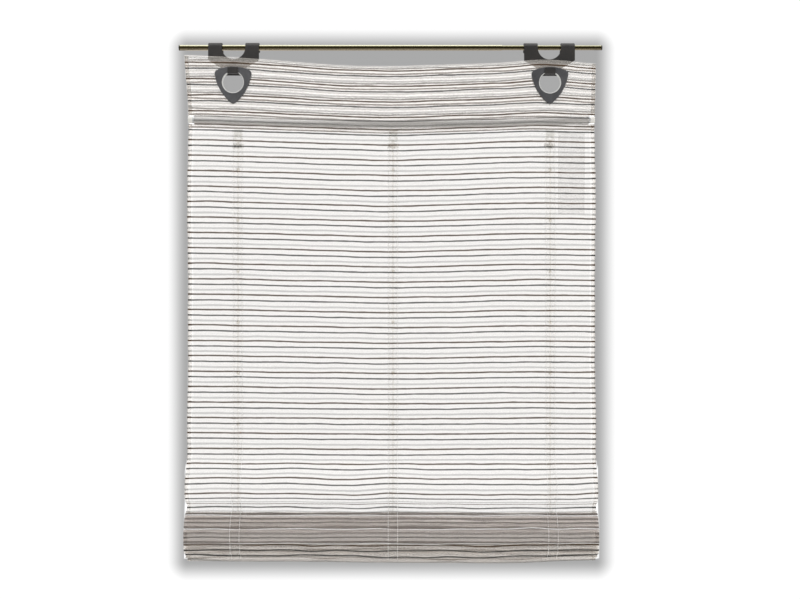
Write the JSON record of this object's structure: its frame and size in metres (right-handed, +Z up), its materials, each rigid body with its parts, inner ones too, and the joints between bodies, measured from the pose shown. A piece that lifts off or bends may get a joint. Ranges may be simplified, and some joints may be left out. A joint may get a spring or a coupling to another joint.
{
  "type": "roman blind",
  "caption": "Soft roman blind in striped sheer cloth, hung from a thin telescopic rod by two hooks through eyelets, partly raised in folds.",
  "frame": {"origin": "on the rod's axis at the middle of the cloth's width", "axes": "+X to the right and +Z up, seen from the room; the blind's face looks along -Y"},
  "size_m": [0.836, 0.0694, 1.0216],
  "materials": {
    "rod_brass": "polished",
    "rod_plug": "satin",
    "hook_plastic": "satin",
    "eyelet_plastic": "satin",
    "striped_voile": "sheer woven, with brown, grey and pale stripes",
    "header_rod": "mill",
    "white_cap": "moulded",
    "bottom_bar": "lacquered white",
    "woven_tape": "woven",
    "braided_cord": "braided",
    "clear_guide": "moulded",
    "stopper_plastic": "moulded",
    "spring_wire": "drawn",
    "care_label": "woven satin"
  },
  "bodies": {
    "header": {"rod_outer_tube": "rod_brass", "rod_plug_left": "rod_plug", "hook_left": "hook_plastic", "hook_right": "hook_plastic", "eyelet_front_left": "eyelet_plastic", "eyelet_front_right": "eyelet_plastic", "eyelet_back_left": "eyelet_plastic", "eyelet_back_right": "eyelet_plastic", "blind_cloth": "striped_voile", "header_rod": "header_rod", "header_rod_cap_left": "white_cap", "header_rod_cap_right": "white_cap", "tape_left": "woven_tape", "tape_centre": "woven_tape", "tape_right": "woven_tape", "lift_cord_left": "braided_cord", "lift_cord_centre": "braided_cord", "lift_cord_right": "braided_cord", "cord_guide_left": "clear_guide", "cord_guide_centre": "clear_guide", "cord_guide_right": "clear_guide", "stopper_body_left": "stopper_plastic", "stopper_body_centre": "stopper_plastic", "stopper_body_right": "stopper_plastic", "stopper_spring_left": "spring_wire", "stopper_spring_centre": "spring_wire", "stopper_spring_right": "spring_wire", "care_label": "care_label"},
    "rod_extension": {"rod_inner_tube": "rod_brass", "rod_plug_right": "rod_plug"},
    "hem_bar": {"bottom_bar": "bottom_bar", "bottom_bar_cap_left": "white_cap", "bottom_bar_cap_right": "white_cap"},
    "button_left": {"stopper_button_left": "stopper_plastic"},
    "button_centre": {"stopper_button_centre": "stopper_plastic"},
    "button_right": {"stopper_button_right": "stopper_plastic"}
  },
  "joints": [
    {"name": "rod_extend", "type": "slide", "parent": "header", "child": "rod_extension", "axis": [1, 0, 0], "range_m": [-0.04, 0.2]},
    {"name": "lift", "type": "slide", "parent": "header", "child": "hem_bar", "axis": [0, 0, 1], "range_m": [0, 0.48], "deforming": ["blind_cloth", "tape_left", "tape_centre", "tape_right", "lift_cord_left", "lift_cord_centre", "lift_cord_right"]},
    {"name": "press_left", "type": "slide", "parent": "header", "child": "button_left", "axis": [-1, 0, 0], "range_m": [0, 0.0024], "stiffness_N_per_m": 300, "springref_m": -0.003, "deforming": ["stopper_spring_left"]},
    {"name": "press_centre", "type": "slide", "parent": "header", "child": "button_centre", "axis": [-1, 0, 0], "range_m": [0, 0.0024], "stiffness_N_per_m": 300, "springref_m": -0.003, "deforming": ["stopper_spring_centre"]},
    {"name": "press_right", "type": "slide", "parent": "header", "child": "button_right", "axis": [-1, 0, 0], "range_m": [0, 0.0024], "stiffness_N_per_m": 300, "springref_m": -0.003, "deforming": ["stopper_spring_right"]}
  ]
}
